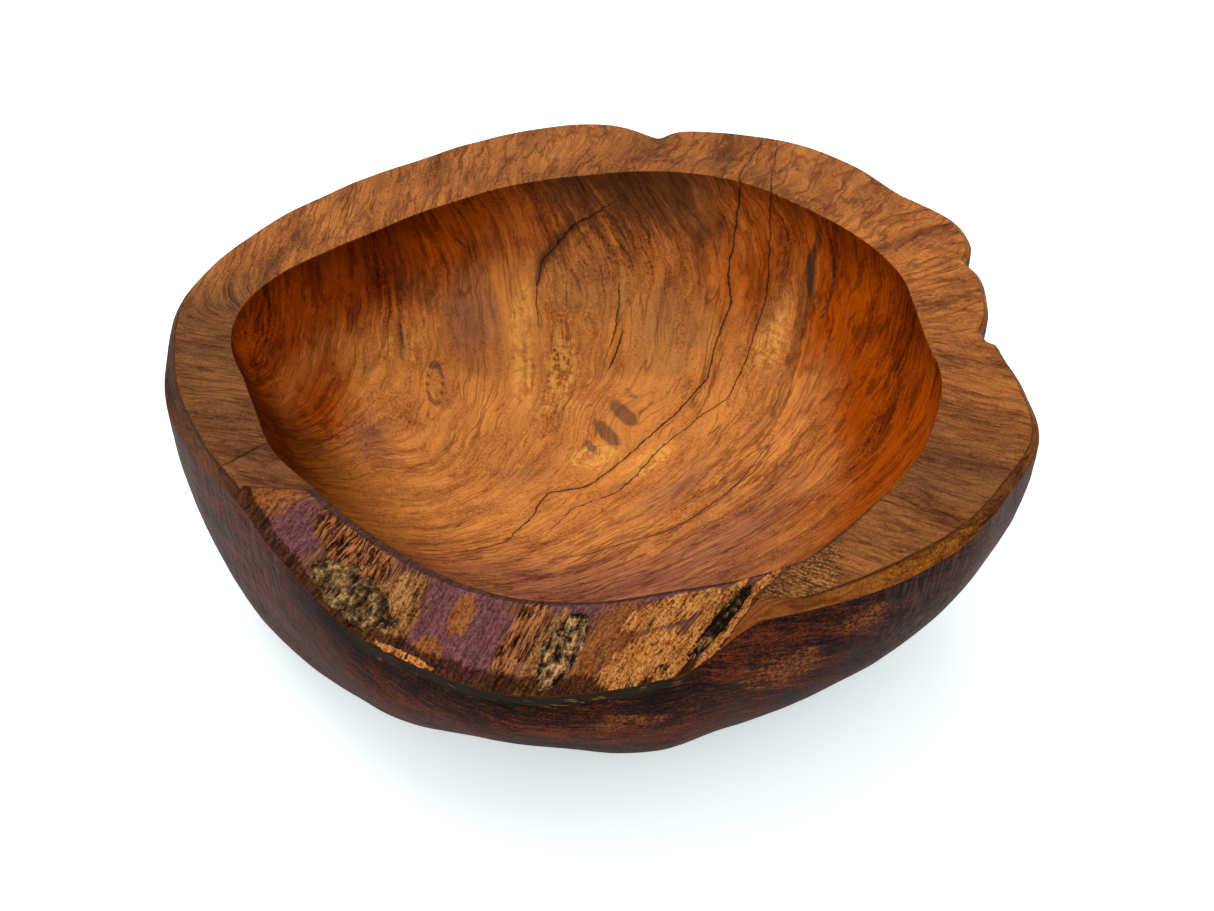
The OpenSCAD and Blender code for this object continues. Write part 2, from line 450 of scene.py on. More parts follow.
# Width of the strip that was burnt along the live edge's outer edge: degrees, millimetres
STRIP_AT = [218, 228, 236, 246, 264, 284]
STRIP_WIDTH = [3.4, 3.2, 2.2, 4.0, 4.0, 2.6]
FIELDS = {
    "grain": grain_across(),
    "wall": on_wall,
    "hollow": on_hollow,
    "live": on_live,
    # Distance from the rim's outer edge, in widths of the burnt strip
    "strip": share_grid * rim_width / np.interp(slanted, STRIP_AT, STRIP_WIDTH),
    # Millimetres below that edge
    "below_edge": (rim_z(angles, 0) - ring_z) * on_wall,
    "bevel": on_bevel,
    "trimmed": on_bevel * bump(angle_grid, 318, 15),
    "lip": share_grid - np.interp(slanted, [222, 240, 262], [0.84, 0.87, 0.93]),
    "seam": bump(ring_r - inner_radius(angles), 0, 1.5) * (1 - on_wall) * np.maximum(
        bump(angle_grid, 306, 16), 0.6 * ease((angle_grid - 246) / 10) * ease((300 - angle_grid) / 10)),
    "smoke": on_hollow * np.maximum.reduce([
        spots([(20, 103, 34, 10, 0, 1.0), (38, 96, 16, 8, -20, 0.8), (-8, 102, 20, 9, 0, 1.0),
               (-38, 84, 12, 7, 20, 0.6), (-62, 66, 15, 7, 35, 0.6), (-80, 52, 12, 6, 60, 0.45)]),
        stroke([(8, 102), (-7, 96), (-13, 92), (-19, 86), (-22, 77)], 2.4, 0.9),
        stroke([(8, 99), (-1, 96), (-9, 90)], 1.2, 0.8)]),
    # Darker, redder upper wall of the hollow, away from the front: partly end grain that took more
    # stain, partly painted shade and the painted red of light bounced inside the hollow
    "amber_stain_and_shade": on_hollow * (1 - 0.95 * front) * (1 - 0.6 * back)
        * (1 - spots([(64, 54, 16, 9, 70, 0.95), (74, 26, 16, 10, 70, 0.5)]))
        * np.maximum(upper, spots([(74, -30, 26, 18, 60, 0.6), (-92, 10, 34, 12, 80, 0.9)])),
    "burnt": on_hollow * spots([(103, 22, 30, 8, 82, 0.8), (88, 62, 18, 6, 130, 0.7),
                                (-100, 16, 46, 14, 78, 1.0), (-80, 60, 34, 13, 42, 0.9)]),
    "plum": on_hollow * np.maximum.reduce([
        upper * front, west * spots([(-44, 66, 20, 13, 75, 0.7)]),
        spots([(40, -36, 44, 20, 35, 0.75), (-75, 8, 14, 9, 90, 0.7), (0, -60, 80, 30, 5, 0.85),
               (30, 2, 26, 9, 40, 0.55), (-24, 10, 16, 8, 20, 0.5)])]),
    "khaki": on_hollow * spots([(0, 84, 26, 14, 0, 0.9), (28, 72, 20, 20, 0, 0.8),
                                (66, 70, 20, 9, 70, 0.7)]),
    "honey": on_hollow * np.maximum.reduce([
        spots([(0, 19, 12, 7, 25, 1.1), (20, 17, 13, 6, 40, 1.1), (-14, 40, 20, 9, 10, 0.6),
               (5, -18, 34, 12, 20, 0.4), (-60, -22, 16, 12, 0, 0.5), (62, 4, 16, 9, 40, 0.5),
               (62, 54, 14, 7, 70, 0.9), (-12, 56, 14, 7, 80, 1.0)]),
        spots([(-26, 64, 22, 5, 88, 1.0), (-25, 50, 16, 5, 88, 1.1)]) * (1 - west),
        stroke([(80, 75), (77, 62), (73, 50)], 1.1, 0.9),
        stroke([(-71, 53), (-70, 39)], 1.2, 0.9), stroke([(-64, 53), (-63, 41)], 1.0, 0.8),
        stroke([(-75, 51), (-74, 38)], 1.0, 0.8)]),
    "streak": on_hollow * np.maximum.reduce([
        stroke([(81, 77), (76, 70), (75, 64), (72, 54), (69, 46)], 3.4),
        stroke([(85, 72), (83, 60), (78, 50)], 1.1, 0.9),
        stroke([(70, 47), (65, 36), (60, 24)], 2.6, 0.55),
        stroke([(-68, 54), (-67, 41)], 1.3, 0.9),
        stroke([(39, 85), (38, 71), (34, 52)], 1.6, 0.5),
        stroke([(10, 84), (9, 77), (7, 66)], 2.2, 0.5),
        stroke([(-50, 39), (-48, 32), (-49, 17), (-47, 5), (-50, -22)], 0.9, 0.6),
        stroke([(-21, 82), (-19, 70), (-21, 60), (-21, 50)], 1.2, 0.4),
        spots([(69, 46, 4, 2.4, 60, 1.0), (76, 71, 4, 2.4, 60, 0.9)])]),
    "knots": on_hollow * np.maximum.reduce([
        spots([(10.5, 38.5, 8, 3.2, 131, 1.0), (4.5, 30, 8, 3.0, 128, 1.0),
               (-1, 23.5, 5.5, 1.8, 126, 0.8), (13, 47, 4, 1.6, 150, 0.7),
               (36, 37, 3, 1.6, 125, 0.8)]),
        0.8 * ring_mark(-55.5, 38.5, 2.6, 6.5, 0.25), 0.4 * ring_mark(-76, 7, 12, 18, 0.06),
        0.3 * ring_mark(-75, 8, 8, 12, 0.08)]),
    "lined": 0.75 * (1 - on_hollow) * (1 - on_wall) * (1 - on_live) + on_hollow * np.maximum(
        spots([(0, -46, 96, 40, 12, 1.0), (58, 8, 44, 24, 50, 1.0), (-70, 0, 22, 40, 90, 0.6)]), 0.3),
    "rays": on_hollow * spots([(62, 52, 9, 9, 60, 1.0)]),
    # Painted shade: darker beside the gouge's facet edges and in a band just under the rim's inner
    # edge, though not at the front; with a painted highlight along the ridge of the foot edge
    "shade": 1 - 0.08 * west * side_window * bump(side_edge, 0, 22)
        - 0.16 * ease(0.5 + foot_edge / 2.5) * foot_window * bump(foot_edge, 0, 26)
        + 0.12 * bump(foot_edge, 0.3, 0.7) * foot_window
        - 0.4 * bump(edge_depth, 0, 8) * (1 - front) * on_hollow,
    # Painted shade under the rim's inner edge: down the left wall, and a little at the back left
    "painted_rim_shadow": on_hollow * np.maximum(
        ease((62 - edge_depth) / 34) * ease((angle_grid - 172) / 18) * ease((250 - angle_grid) / 20),
        0.25 * bump(edge_depth, 0, 26) * ease((angle_grid - 96) / 16) * ease((150 - angle_grid) / 16)),
    "pale": np.maximum(bump(angle_grid, 22, 17), 0.4 * bump(angle_grid, 142, 24))
        * (1 - on_hollow) * (1 - on_wall),
    # The outer wall darker near its top at the front left, under the live edge
    "dark_wall_top_front_left": on_wall * ease((angle_grid - 222) / 10) * ease((276 - angle_grid) / 14)
        * ease((ring_z - 54) / 8),
    # Painted shade: the outer wall darker towards the foot, to hold back the glowing floor's light
    "low": on_wall * ease((44 - ring_z) / 40),
    "weathered": (1 - on_hollow) * (1 - on_wall) * np.maximum.reduce([
        ease((angle_grid - 150) / 30) * ease((228 - angle_grid) / 8),
        0.45 * ease((angle_grid - 290) / 8) * ease((356 - angle_grid) / 25),
        0.9 * bump(angle_grid, 328, 9), 0.2 * bump(angle_grid, 140, 24)]),
    "grainy": bump(angle_grid - 7 * (share_grid - 0.5), 297, 7.5) * (1 - on_hollow) * (1 - on_wall),
    "mauve": ovals([((225, 0.42), (4.6, 0.46), 3), ((252.5, 0.5), (8.8, 0.5), 3),
                    ((276, 0.9), (15, 0.1), 0)]),
    "rust": ovals([((218, 0.5), (4.4, 0.42), 4), ((234.5, 0.1), (2.2, 0.12), 0),
                   ((253.5, 0.66), (1.7, 0.25), 3), ((250, 0.2), (1.8, 0.14), 3),
                   ((272.5, 0.45), (4.5, 0.5), 6)]),
    "fibre": ovals([((234, 0.72), (8.5, 0.24), 4), ((261.6, 0.6), (2.1, 0.45), 5)]),
    "ochre": ovals([((243.2, 0.35), (4.4, 0.5), 4), ((264, 0.35), (1.6, 0.5), 5)]),
    "gold": ovals([((247, 0.04), (4, 0.05), 0), ((281, 0.74), (5.5, 0.17), 20),
                   ((276.5, 0.27), (4.6, 0.27), 10), ((283.9, 0.42), (2.4, 0.52), 13),
                   ((289.3, 0.45), (1.9, 0.6), 13)]),
    "soot": on_wall * ease((angle_grid - 233) / 12) * ease((285 - angle_grid) / 8),
    # Painted sheen: a reflection of the bright surroundings painted into the outer wall's colour, on
    # its left and its right
    "painted_sheen": on_wall * np.maximum(ease((angle_grid - 150) / 25) * ease((238 - angle_grid) / 22),
                                  0.8 * ease((angle_grid - 300) / 14) * ease((ring_z - 20) / 30)),
    "ember": on_wall * np.maximum.reduce([
        bump(angle_grid, 295, 7) * bump(ring_z, 54, 12), bump(angle_grid, 305, 5) * bump(ring_z, 67, 8),
        0.85 * bump(angle_grid, 275, 8) * bump(ring_z, 48, 7)]),
}
FIELDS["crack"], FIELDS["opening"] = cracks(CRACKS)
FIELDS["hairline"], FIELDS["hair_opening"] = cracks(HAIRLINES)

# ------------------------------------------------------------------------ surface detail


def displace(points):
    """Adds the carver's unevenness, the tool facets and the rough live edge."""
    normal = grid_normals(points)
    steady = ease(points[:, :, 2] / 6)
    field = FIELDS["grain"]
    height = 0.6 * noise_at(points, 38, 1) + 0.25 * noise_at(points, 14, 2)
    drawn_out = np.stack([field / 3, points[:, :, 0] / 30, points[:, :, 1] / 30], -1)
    height += 0.14 * noise_at(drawn_out, 1, 3) * (1 - on_live)
    # The gouge left shallow dishes in the hollow.
    height += 0.7 * (np.abs(noise_at(points, 24, 4)) - 0.25) * on_hollow
    # Cracks have sunken sides.
    height -= 0.35 * bump(FIELDS["crack"], 0, 1.4) * FIELDS["opening"]
    height -= 0.2 * bump(FIELDS["hairline"], 0, 1.2) * FIELDS["hair_opening"]
    # The edges between the gouge's facets
    height += 0.45 * west * side_window * bump(side_edge, 0, 16)
    height += 0.3 * bump(foot_edge, 0, 1.6) * foot_window
    # The live edge is torn along the grain and lumpy, most of all where the bark was.
    rows, columns = np.nonzero(on_live)
    spot = points[rows, columns]
    torn = np.stack([field[rows, columns] / 2.6, spot[:, 0] / 16, spot[:, 1] / 16], -1)
    rough = np.maximum.reduce([FIELDS[name] for name in ("fibre", "ochre", "gold")])[rows, columns]
    rough = 0.3 + 0.7 * ease((rough + 0.3) / 0.4)
    ridges = 1 - 2 * np.abs(noise_at(torn, 1, 6))
    lumps = 1.4 * (ridges - 0.6) + 1.2 * noise_at(spot, 4.5, 7) + 0.6 * noise_at(spot, 2.4, 8)
    share = share_grid[rows, columns]
    inwards = ease((0.9 - share) / 0.06)
    height[rows, columns] += rough * lumps * inwards * (0.5 + 0.5 * ease(share / 0.05))
    for patch in BARKS.values():
        inside = ease(oval(patch) / 0.25) * on_live
        height = mix(height, -BARK_DEPTH, inside)
    return points + normal * (height * steady)[:, :, None]


def store(thing, fields, closing_values):
    """Keeps fields at a mesh's vertices, where the materials read them."""
    for name, values in fields.items():
        attribute = thing.data.attributes.new(name, "FLOAT", "POINT")
        ends = [closing_values.get(name, 0)] * 2
        attribute.data.foreach_set("value", np.append(values.ravel(), ends))


points = displace(points)
closing = np.array([[-MIDDLE[0], -MIDDLE[1], 0], [-MIDDLE[0], -MIDDLE[1], FLOOR]])
bowl = build_mesh("carved_bowl", points, closing)
store(bowl, FIELDS, {"hollow": 1, "crack": 50, "hairline": 50, "shade": 1, "mauve": -1, "rust": -1,
                      "fibre": -1, "ochre": -1, "gold": -1})
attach(bowl, "root")
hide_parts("bowl")

# --------------------------------------------------------------------- the bark remnants


def slope_point(angle, share):
    """A point on the smooth live edge."""
    r = mix(outer_radius(angle), inner_radius(angle), share)
    way = np.radians(angle)
    return np.stack([r * np.cos(way) - MIDDLE[0], r * np.sin(way) - MIDDLE[1],
                     rim_z(angle, share)], -1)


def slope_normal(angle, share):
    normal = np.cross(slope_point(angle + 0.5, share) - slope_point(angle - 0.5, share),
                      slope_point(angle, share + 0.02) - slope_point(angle, share - 0.02))
    normal /= np.linalg.norm(normal, axis=-1, keepdims=True)
    return normal


def make_bark(name, patch, lump, furrow, top):
    """A rough piece that sits in its pocket. Lengths: lump height, furrow depth and
    the height of its top over the wood."""
    (middle, share), (reach_angle, reach_share), lean_over = patch
    n_round, n_out = 110, 26
    way = np.linspace(0, 2 * np.pi, n_round, endpoint=False)
    out = np.linspace(0, 1, n_out + 1)[1:, None]
    ragged = (1.02 + 0.1 * np.sin(2 * way + middle) + 0.09 * np.sin(3 * way + 2 * middle)
              + 0.07 * np.sin(7 * way + 2) + 0.05 * np.sin(13 * way) + 0.04 * np.sin(19 * way + 1))
    v = np.clip(share + reach_share * ragged * out * np.sin(way), 0.015, 0.9)
    a = middle + lean_over * (v - share) + reach_angle * ragged * out * np.cos(way)
    surface, normal = slope_point(a, v), slope_normal(a, v)
    fibres = MM_PER_DEGREE * (a - lean_over * (v - share))
    drawn_out = np.stack([fibres / 1.7, surface[..., 0] / 9, surface[..., 1] / 9], -1)
    rough = lump * (noise_at(surface, 3.2, 11) + 0.7 * noise_at(surface, 1.5, 12))
    rough += furrow * (0.3 - 2 * np.abs(noise_at(drawn_out, 1, 13)))
    dome = ease((1 - out) / 0.3)
    height = mix(-0.5, top, dome) + rough * (0.35 + 0.65 * dome)
    upper_side = surface + normal * height[..., None]
    lower_side = surface + normal * mix(-0.9, -BARK_DEPTH - 0.4, dome)[..., None]
    # Rings from the middle of the top, over the edge, to the middle of the bottom
    shell = np.concatenate([upper_side, lower_side[::-1]])
    where = np.array(middle), np.array(share)
    centre, up = slope_point(*where), slope_normal(*where)
    ends = np.array([centre + up * top, centre - up * (BARK_DEPTH + 0.4)])
    # The ring order runs the other way from the bowl's, so the middles swap places.
    piece = build_mesh(name, shell[::-1], ends[::-1])
    relief = np.concatenate([height, np.full_like(height, -2.0)])[::-1]
    grain = np.concatenate([fibres, fibres[::-1]])[::-1]
    store(piece, {"grain": grain, "relief": relief}, {"relief": top})
    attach(piece, "root")
    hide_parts(name)
    return piece


bark_left = make_bark("bark_patch_left", BARKS["bark_patch_left"], 0.9, 0.8, 0.3)
bark_front = make_bark("bark_vein_front", BARKS["bark_vein_front"], 0.9, 1.3, 0.3)
bark_right = make_bark("bark_pocket_right", BARKS["bark_pocket_right"], 0.6, 1.4, -0.5)

# ----------------------------------------------------------------------------- materials


class Signal:
    """A socket of a material's nodes, with arithmetic."""

    def __init__(self, graph, socket):
        self.graph = graph
        self.socket = socket

    def __add__(self, other):
        return self.graph.math("ADD", self, other)

    def __sub__(self, other):
        return self.graph.math("SUBTRACT", self, other)

    def __rsub__(self, other):
        return self.graph.math("SUBTRACT", other, self)

    def __mul__(self, other):
        return self.graph.math("MULTIPLY", self, other)

    def __truediv__(self, other):
        return self.graph.math("DIVIDE", self, other)

    __radd__ = __add__
    __rmul__ = __mul__


class Graph:
    """Short calls that build a material's nodes."""

    def __init__(self, name):
        self.material = bpy.data.materials.new(name)
        self.material.use_nodes = True
        self.tree = self.material.node_tree
        self.shader = self.tree.nodes["Principled BSDF"]

    def feed(self, socket, value):
        if isinstance(value, Signal):
            self.tree.links.new(value.socket, socket)
        else:
            socket.default_value = value

    def make(self, kind, inputs=(), **settings):
        node = self.tree.nodes.new(kind)
        for key, value in settings.items():
            setattr(node, key, value)
        for key, value in dict(inputs).items():
            self.feed(node.inputs[key], value)
        return node

    def math(self, operation, a, b=0.0):
        node = self.make("ShaderNodeMath", {0: a, 1: b}, operation=operation)
        return Signal(self, node.outputs[0])

    def step(self, value, low, high):
        """0 at low and 1 at high, eased between them. High may be the lower number."""
        node = self.make("ShaderNodeMapRange", {"Value": value, "From Min": low, "From Max": high},
                         interpolation_type="SMOOTHSTEP")
        return Signal(self, node.outputs["Result"])

    def field(self, name):
        return Signal(self, self.make("ShaderNodeAttribute", attribute_name=name).outputs["Fac"])

    def place(self):
        """The place on the object in millimetres, as three signals."""
        source = self.make("ShaderNodeTexCoord").outputs["Object"]
        parts = self.make("ShaderNodeSeparateXYZ", {0: Signal(self, source)}).outputs
        return [Signal(self, part) * 1000.0 for part in parts]

    def vector(self, x, y, z):
        return Signal(self, self.make("ShaderNodeCombineXYZ", {0: x, 1: y, 2: z}).outputs[0])

    def noise(self, vector, size=1.0, detail=2.0, roughness=0.5):
        """Noise around 0.5, mostly between 0.3 and 0.7."""
        node = self.make("ShaderNodeTexNoise", {
            "Vector": vector, "Scale": 1 / size, "Detail": detail, "Roughness": roughness})
        return Signal(self, node.outputs["Fac"])

    def cells(self, vector, size=1.0):
        """Distance to the nearest of scattered points, in cells."""
        node = self.make("ShaderNodeTexVoronoi", {"Vector": vector, "Scale": 1 / size})
        return Signal(self, node.outputs["Distance"])

    def blend(self, amount, below, above, kind="MIX"):
        node = self.make("ShaderNodeMix", data_type="RGBA", blend_type=kind)
        self.feed(node.inputs["Factor"], amount)
        for key, colour in (("A", below), ("B", above)):
            socket = next(i for i in node.inputs if i.name == key and i.type == "RGBA")
            self.feed(socket, colour if isinstance(colour, Signal) else (*colour, 1))
        return Signal(self, next(o for o in node.outputs if o.type == "RGBA"))

    def ramp(self, value, *stops):
        """A colour that runs through the given (position, colour) stops."""
        node = self.make("ShaderNodeValToRGB", {"Fac": value})
        elements = node.color_ramp.elements
        for element, (position, colour) in zip(elements, (stops[0], stops[-1])):
            element.position = position
            element.color = (*colour, 1)
        for position, colour in stops[1:-1]:
            elements.new(position).color = (*colour, 1)
        return Signal(self, node.outputs["Color"])

    def finish(self, colour, roughness, gloss, height):
        """Colour, roughness, strength of reflection, and height in millimetres."""
        relief = self.make("ShaderNodeBump", {"Height": height, "Distance": MM, "Strength": 1.0})
        self.feed(self.shader.inputs["Base Color"], colour)
        self.feed(self.shader.inputs["Roughness"], roughness)
        self.feed(self.shader.inputs["Specular IOR Level"], gloss)
        self.feed(self.shader.inputs["Normal"], Signal(self, relief.outputs[0]))
        return self.material


HONEY = (0.73, 0.265, 0.055)
GOLD = (0.62, 0.208, 0.043)
RUSSET = (0.43, 0.130, 0.028)
UMBER = (0.15, 0.040, 0.008)
BLACK = (0.014, 0.006, 0.004)
WOOD_GLOSS = 0.02
# Half widths of the cracks and the hairlines, in millimetres
CRACK_HALF = 0.22
HAIRLINE_HALF = 0.15


def wood_material():
    g = Graph("root_wood")
    x, y, z = g.place()
    place = g.vector(x, y, z)
    hollow, wall, live = g.field("hollow"), g.field("wall"), g.field("live")

    # The grain wanders, a lot over a hand's breadth and a little over a finger's.
    wander = (g.noise(place, 45, 1) - 0.5) * 9.0 + (g.noise(place, 9) - 0.5) * 2.6
    grain = g.field("grain") + wander * (1.0 - live * 0.8)

    def along_grain(across, length, detail=2, roughness=0.5):
        """Noise that is drawn out along the grain. Sizes are in millimetres."""
        return g.noise(g.vector(grain / across, x / length, y / length), 1, detail, roughness)

    bands = along_grain(13.0, 60.0, 1)
    streaks = along_grain(2.4, 26.0, 2)
    fibres = along_grain(0.55, 8.0, 3, 0.65)
    mottle = g.noise(place, 12, 5, 0.65)
    specks = g.noise(place, 0.9, 2, 0.7)
    fray = (g.noise(place, 5, 4, 0.65) - 0.5) * 0.6 + (along_grain(1.6, 20.0, 3, 0.6) - 0.5)
    phase = g.math("FRACT", grain / 3.7 + mottle * 1.5 + bands * 4.0)
    shown = g.step(along_grain(9.0, 34.0, 1), 0.46, 0.62)
    rings = g.step(phase, 0.45, 0.92) * g.step(phase, 1.0, 0.94) * shown
    thin = g.math("ABSOLUTE", along_grain(3.2, 44.0, 1) - 0.5)
    thin = g.step(thin, 0.02, 0.004) * g.step(mottle, 0.4, 0.56)
    second = g.noise(g.vector(grain / 4.4 + 31.0, x / 50.0, y / 50.0), 1, 2)
    second = g.math("ABSOLUTE", second - 0.5)
    second = g.step(second, 0.05, 0.008) * g.step(mottle + specks * 0.4, 0.56, 0.78)
    second = second * g.field("lined")
    third = g.noise(g.vector(grain / 5.5 + 57.0, x / 34.0, y / 34.0), 1, 3, 0.6)
    third = g.math("ABSOLUTE", third - 0.5)
    third = g.step(third, 0.045, 0.006) * g.field("lined")
    pores = g.step(g.cells(g.vector(grain / 1.6, x / 2.4, y / 2.4)), 0.13, 0.05)
    pores = pores * g.step(g.noise(place, 8, 2), 0.5, 0.64)
    # Bright flecks: golden specks in the grain, lightened with painted varnish highlights
    glinting_flecks = g.step(g.cells(g.vector(grain / 0.8 + 7.0, x / 2.0, y / 2.0)), 0.2, 0.06)
    glinting_flecks = glinting_flecks * g.step(g.noise(place, 13, 2) + g.field("grainy") * 0.3, 0.44, 0.6)

    # The hollow was scraped smooth, so its figure is soft blotches more than fibres.
    scraped = hollow * g.step(g.math("ABSOLUTE", z - 20.0), 45.0, 20.0)
    on_rim = (1.0 - hollow) * (1.0 - wall) * (1.0 - live)
    ripple = 1.0 - scraped * 0.6 - on_rim * 0.55
    tone = (bands - 0.5) * 0.7 + (streaks - 0.5) * ripple * 0.34 + (mottle - 0.5) * 0.6 + 0.52
    fine = (fibres - 0.5) * ripple * 0.95 + (specks - 0.5) * 0.75
    tone = tone + fine
    blotch = g.noise(g.vector(grain / 9.0 + 3.0, x / 22.0, y / 22.0), 1, 4, 0.65)
    blotch = g.step(blotch, 0.46, 0.6)

    # The hollow: gold in the middle, darker and redder up its wall, partly from stain and partly from
    # painted shade
    inside = g.ramp(tone, (0.2, UMBER), (0.36, RUSSET), (0.52, GOLD), (0.72, HONEY))

    def tint(name, frayed, low, high, strength, colour):
        amount = g.step(g.field(name) + fray * frayed, low, high)
        return g.blend(amount * strength, inside, colour, "MULTIPLY")

    inside = tint("plum", 0.6, 0.1, 0.85, 1.0, (0.54, 0.54, 1.1))
    inside = g.blend(blotch * g.field("lined") * 0.55, inside, (0.60, 0.52, 0.8), "MULTIPLY")
    crackled = g.step(g.field("honey") + fray * 0.9, 0.3, 0.8)
    crackled = crackled * g.step(g.noise(place, 2.4, 3, 0.6), 0.4, 0.56)
    inside = g.blend(crackled * 0.75, inside, (0.88, 0.38, 0.075))
    inside = tint("khaki", 0.8, 0.2, 0.8, 0.7, (0.70, 0.86, 1.15))
    # Stain and painted shade up the hollow's wall
    inside = tint("amber_stain_and_shade", 0.5, 0.1, 0.95, 1.0, (0.56, 0.270, 0.003))
    inside = tint("burnt", 1.2, 0.2, 0.9, 0.8, (0.55, 0.46, 0.3))
    smoke = g.step(g.field("smoke") + fray * 1.0, 0.25, 0.95)
    inside = g.blend(smoke * 0.8, inside, (0.085, 0.030, 0.012))
    blots = g.noise(g.vector(grain / 5.0 + 80.0, x / 9.0, y / 9.0), 1, 4, 0.7)
    blots = g.step(blots, 0.5, 0.6)
    inside = g.blend(blots * g.field("amber_stain_and_shade") * 0.75, inside, (0.42, 0.33, 0.3), "MULTIPLY")
    # Painted shade below the rim's inner edge
    inside = g.blend(g.field("painted_rim_shadow"), inside, (0.24, 0.18, 0.04), "MULTIPLY")
    stripes = g.step(along_grain(1.5, 30.0, 2), 0.46, 0.54)
    streak = g.step(g.field("streak") + fray * 1.1, 0.3, 0.85)
    inside = g.blend(streak * (stripes * 0.5 + 0.45), inside, (0.06, 0.027, 0.012))
    knots = g.step(g.field("knots") + fray * 0.3, 0.3, 0.6)
    inside = g.blend(knots * 0.72, inside, (0.13, 0.052, 0.032))
    rays = g.step(g.noise(g.vector(x / 7.0, y / 7.0, z / 0.7), 1, 2), 0.5, 0.42)
    inside = g.blend(rays * g.field("rays") * 0.5, inside, (0.5, 0.45, 0.4), "MULTIPLY")
    # Multiplies in the painted shade and the painted highlight of the shade field
    shade = g.field("shade")
    inside = g.blend(1.0, inside, g.vector(shade, shade, shade), "MULTIPLY")

    # The rim: brown, weathered on the left and the right, with a darker bevel
    top = g.ramp(tone + (blotch - 0.5) * -0.1, (0.22, (0.10, 0.030, 0.008)),
                 (0.38, (0.20, 0.062, 0.015)), (0.54, (0.295, 0.094, 0.021)),
                 (0.75, (0.42, 0.145, 0.030)))
    weathered = g.field("weathered") + fray * 0.5
    top = g.blend(g.step(weathered, 0.1, 0.8) * 0.9, top, (0.50, 0.55, 0.72), "MULTIPLY")
    top = g.blend(g.field("pale") * 0.8, top, (1.5, 1.5, 1.35), "MULTIPLY")
    top = g.blend(g.field("bevel") * 0.85, top, (0.60, 0.50, 0.40), "MULTIPLY")
    edge_line = g.step(g.math("ABSOLUTE", g.field("bevel") - 0.5), 0.45, 0.3)
    top = g.blend(edge_line * 0.5, top, (0.4, 0.35, 0.3), "MULTIPLY")
    fresh = g.ramp(tone, (0.3, (0.08, 0.018, 0.003)), (0.5, (0.27, 0.080, 0.007)),
                   (0.7, (0.48, 0.165, 0.016)))
    top = g.blend(g.field("trimmed") * 0.9, top, fresh)
    seam = g.step(g.field("seam") + fray * 0.5, 0.35, 0.8)
    grainy = g.step(g.field("grainy") + fray * 0.7, 0.3, 0.65) * (1.0 - g.field("bevel"))
    top = g.blend(grainy * 0.85, top, g.ramp((fibres + specks) * 0.5, (0.42, (0.035, 0.013, 0.004)),
                                             (0.5, (0.17, 0.062, 0.015)), (0.6, (0.42, 0.18, 0.045))))

    # The outer wall: dark and stained, with reddish fibres and a painted sheen on its left and right
    side = g.ramp(tone + fine * 0.4, (0.25, (0.005, 0.0015, 0.001)), (0.45, (0.016, 0.0035, 0.002)),
                  (0.6, (0.046, 0.008, 0.002)), (0.8, (0.115, 0.023, 0.005)))
    # Painted shade, darker towards the foot
    side = g.blend(g.field("low"), side, (0.62, 0.50, 0.5), "MULTIPLY")
    # Darker near the top of the wall at the front left
    side = g.blend(g.field("dark_wall_top_front_left"), side, (0.45, 0.45, 0.5), "MULTIPLY")
    # Painted sheen on the wall's left and right, in vertical scratches
    sheen_scratches = g.noise(g.vector(x / 1.1, y / 1.1, z / 22.0), 1, 3)
    painted_sheen = g.field("painted_sheen")
    side = g.blend(painted_sheen * g.step(sheen_scratches, 0.40, 0.66) * 0.5, side, (0.115, 0.052, 0.044))
    ember = g.step(g.field("ember") + fray * 1.4, 0.45, 0.85)
    ember = ember * g.step(g.noise(place, 1.1, 3, 0.7), 0.42, 0.6)
    side = g.blend(ember * 0.8, side, (0.23, 0.064, 0.011))
    below = g.field("below_edge") + fray * 6.0
    soot = g.field("soot") * g.step(below, 4.4, 2.6)
    side = g.blend(soot * 0.9, side, (0.018, 0.014, 0.008))
    glints = g.step(along_grain(0.9, 7.0, 2), 0.6, 0.66) * g.step(below, 8.0, 3.0)
    glints = glints * g.field("soot") * g.step(mottle, 0.47, 0.58)
    side = g.blend(glints * 0.6, side, (0.30, 0.13, 0.035))

    # The live edge: torn wood in patches of several colours
    torn = along_grain(0.95, 4.6, 4, 0.8)
    grit = g.noise(place, 0.85, 3, 0.8)
    mixed = torn * 0.5 + grit * 0.5
    pits = g.step(along_grain(1.5, 4.5, 3, 0.6) + (grit - 0.5) * 0.4, 0.42, 0.34)
    raw = g.ramp(torn, (0.36, (0.06, 0.020, 0.012)), (0.49, (0.22, 0.078, 0.042)),
                 (0.62, (0.40, 0.16, 0.08)))

    def patch(name, colour, low, high, base):
        return g.blend(g.step(g.field(name) + fray * 0.9, low, high), base, colour)

